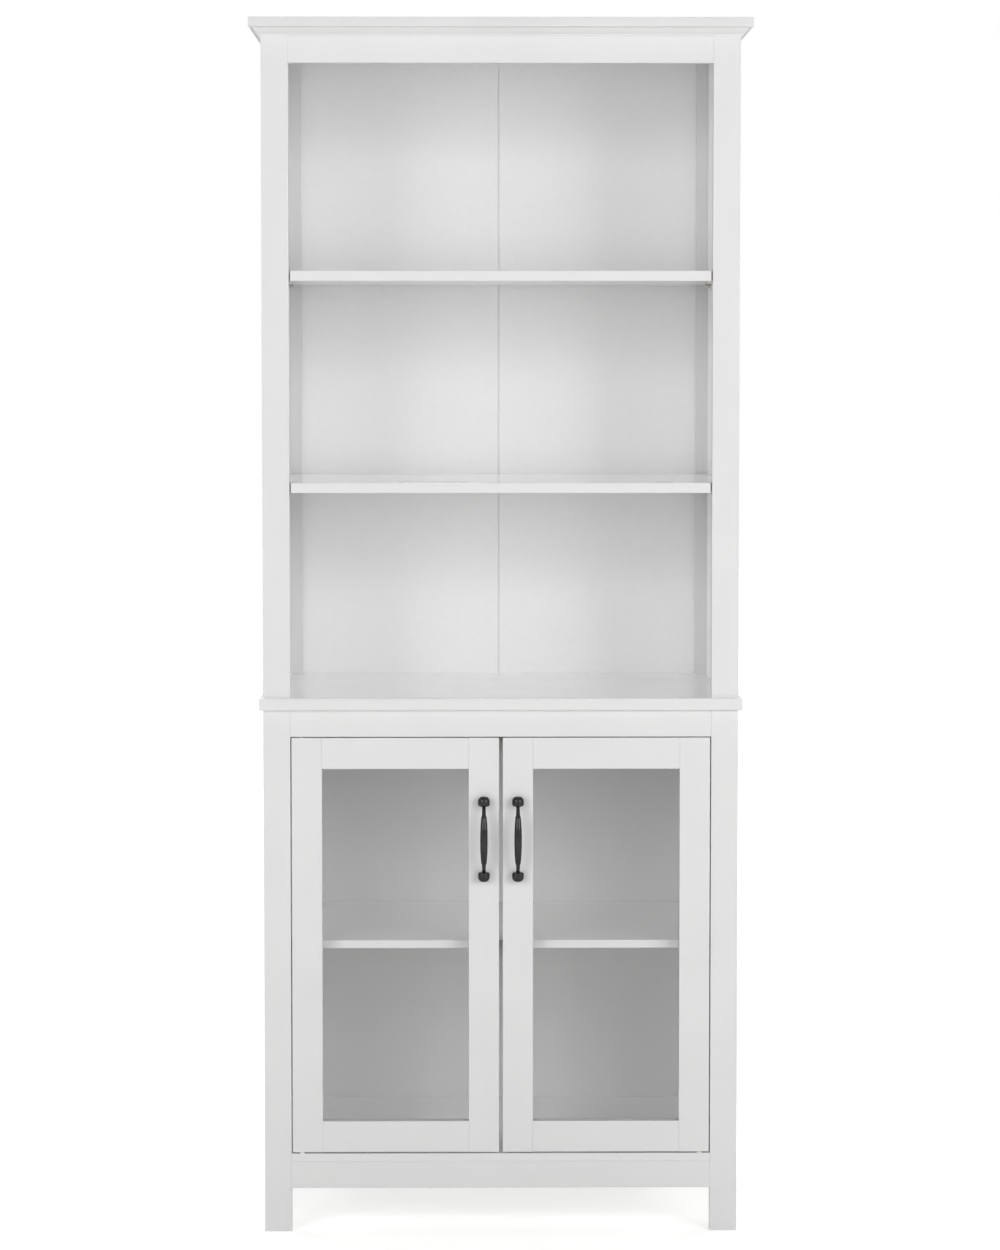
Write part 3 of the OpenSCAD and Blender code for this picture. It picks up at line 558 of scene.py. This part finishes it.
# which finish each piece of the bookcase has, by what its name holds; the first match counts
finishOf = (
    ("pull_screws", "zincPlate"), ("pull", "black"), ("carcass_screws", "zincPlate"),
    ("back_nails", "zincPlate"), ("cam_locks", "dieCast"), ("cam_bolts", "zincPlate"),
    ("joining_plates", "zincPlate"), ("magnetic_catch", "nylon"), ("strike_plate", "nickel"),
    ("pivot_pins", "nickel"), ("pivot_bushes", "nylon"), ("shelf_pins", "nickel"),
    ("dowels", "beech"), ("glass_beads", "lacquerUpright"), ("glass", "glass"),
    ("hutch_back", "foil"), ("base_back_panel", "darkenedFoil"), ("crown_board", "thinLacquer"),
    ("crown_moulding_left", "lacquerFrontToBack"), ("crown_moulding_right", "lacquerFrontToBack"),
    ("side_panel", "mattBoard"), ("shelf", "board"), ("top_panel", "board"),
    ("top_board", "board"), ("floor_panel", "board"), ("crown", "lacquerAcross"),
    ("rail", "lacquerAcross"), ("apron", "lacquerAcross"), ("", "lacquerUpright"),
)


def finishPieces():
    for name, piece in nodes.items():
        finish = next(found for part, found in finishOf if part in name)
        if not piece.material_slots:
            piece.data.materials.append(finishes[finish])
        for slot in piece.material_slots:
            slot.material = finishes[finish]


finishPieces()
print("every piece of the frame has its finish")

# A cast pull: two beads with rounded ends on small round seats, and between them a bowed grip
# with a swelling middle, a shoulder at each end of it and slim necks.
pullValues = {
    "beadRadius": 8.8 * mm,
    "beadLength": 14.6 * mm,
    "beadsApart": 112.8 * mm,   # between their middles
    "outerRound": 7.0 * mm,     # rounding of a bead's outer end
    "innerRound": 3.0 * mm,     # rounding of the end where the grip leaves
    "roundSteps": 7,
    "seatRadius": 5.5 * mm,
    "seatHeight": 0.8 * mm,
    "seatLength": 1.76 * mm,    # from the door's face to inside the bead
    "standsOut": 28 * mm,       # from the door's face to the front of the grip
    "bowPower": 4,              # 2 would be an even bow, and more bends it near the beads
    "gripRadius": 5.6 * mm,
    "gripEnd": 35 * mm,         # from the middle to the shoulder
    "gripOverlap": 0.6 * mm,    # how far the grip goes into each bead
    "swellPower": 2.4,          # 1 would be a straight taper, and more keeps the middle full
    "shoulderRadius": 4.0 * mm,
    "shoulderLength": 1.0 * mm,
    "neckRadius": 3.1 * mm,
    "neckEndRadius": 2.7 * mm,
    "flareLength": 2.4 * mm,    # the necks widen again before the beads
    "flareShare": 0.5,          # by this share of their radius
    "flareSteps": 4,
    "gripSteps": 14,            # in each half of the swelling, and in each neck
    "sideCount": 32,
    "sharpAngle": 50,           # degrees; edges that turn by more than this stay sharp
}


# closes a stack of rings, each a list of points, into a tube with flat caps
def addTube(shape, rings):
    loops = [[shape.verts.new(point) for point in ring] for ring in rings]
    count = len(loops[0])
    for lower, upper in zip(loops, loops[1:]):
        for i in range(count):
            j = (i + 1) % count
            shape.faces.new((lower[i], lower[j], upper[j], upper[i]))
    shape.faces.new(list(reversed(loops[0])))
    shape.faces.new(loops[-1])


# turns an outline, pairs of radius and height, about an axis and adds it
def addTurned(shape, outline, centre, axis, count):
    side = Vector((1, 0, 0))
    other = axis.cross(side)
    turns = [2 * math.pi * i / count for i in range(count)]
    addTube(shape, [[centre + axis * height + (side * math.cos(a) + other * math.sin(a)) * radius
                     for a in turns] for radius, height in outline])


# the quarter round at a bead's end, as pairs of radius and height
def roundedEnd(radius, end, roundness, steps):
    sweep = [math.pi / 2 * i / steps for i in range(steps + 1)]
    return [(radius - roundness * (1 - math.cos(a)), end - roundness * (1 - math.sin(a)))
            for a in sweep]


# one half of the grip and its neck, as pairs of distance from the middle and radius
def gripOutline(values, end):
    steps, flareSteps = values["gripSteps"], values["flareSteps"]
    swell, shoulder = values["gripRadius"], values["shoulderRadius"]
    places = []
    for i in range(steps + 1):
        t = i / steps
        radius = shoulder + (swell - shoulder) * (1 - t ** values["swellPower"])
        places.append((t * values["gripEnd"], radius))
    neckStart = values["gripEnd"] + values["shoulderLength"]
    neckEnd = end - values["flareLength"]
    wide, slim = values["neckRadius"], values["neckEndRadius"]
    for i in range(steps + 1):
        t = i / steps
        places.append((neckStart + (neckEnd - neckStart) * t, wide + (slim - wide) * t))
    for i in range(1, flareSteps + 1):
        t = i / flareSteps
        places.append((neckEnd + values["flareLength"] * t,
                       slim * (1 + values["flareShare"] * t * t)))
    return places


def makePull(side):
    values = pullValues
    low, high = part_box("door_" + side + "_pull")
    centreX, doorFront, centreZ = (low.x + high.x) / 2, high.y, (low.z + high.z) / 2
    count, steps = values["sideCount"], values["roundSteps"]
    halfBead, beadZ = values["beadLength"] / 2, values["beadsApart"] / 2
    axisY = doorFront - values["seatHeight"] - values["beadRadius"]
    shape = bmesh.new()

    inner = roundedEnd(values["beadRadius"], halfBead, values["innerRound"], steps)
    outer = roundedEnd(values["beadRadius"], halfBead, values["outerRound"], steps)
    bead = [(radius, -height) for radius, height in reversed(inner)] + outer
    seat = [(values["seatRadius"], 0), (values["seatRadius"], values["seatLength"])]
    for up in (1, -1):
        z = centreZ + up * beadZ
        addTurned(shape, bead, Vector((centreX, axisY, z)), Vector((0, 0, up)), count)
        addTurned(shape, seat, Vector((centreX, doorFront, z)), Vector((0, -1, 0)), count)

    # the grip's rings stand square to its bow
    reach = beadZ - halfBead + values["gripOverlap"]
    rise = axisY - (doorFront - values["standsOut"] + values["gripRadius"])
    half = gripOutline(values, reach)
    power = values["bowPower"]
    rings = []
    for z, radius in [(-z, radius) for z, radius in reversed(half[1:])] + half:
        t = z / reach
        tilt = math.atan(power * rise * t ** (power - 1) / reach)
        ring = []
        for k in range(count):
            a = 2 * math.pi * k / count
            out = radius * math.sin(a)
            ring.append(Vector((centreX + radius * math.cos(a),
                                axisY - rise * (1 - t ** power) + out * math.cos(tilt),
                                centreZ + z - out * math.sin(tilt))))
        rings.append(ring)
    addTube(shape, rings)

    bmesh.ops.recalc_face_normals(shape, faces=shape.faces)
    mesh = bpy.data.meshes.new("cast_pull_" + side)
    shape.to_mesh(mesh)
    shape.free()
    for face in mesh.polygons:
        face.use_smooth = True
    mesh.materials.append(finishes["black"])
    pull = bpy.data.objects.new("cast_pull_" + side, mesh)
    scene.collection.objects.link(pull)
    sharpEdges = pull.modifiers.new("sharp_edges", "EDGE_SPLIT")
    sharpEdges.split_angle = math.radians(values["sharpAngle"])
    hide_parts("door_" + side + "_pull")
    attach(pull, "door_" + side)


for side in ("left", "right"):
    makePull(side)
print("pulls made")
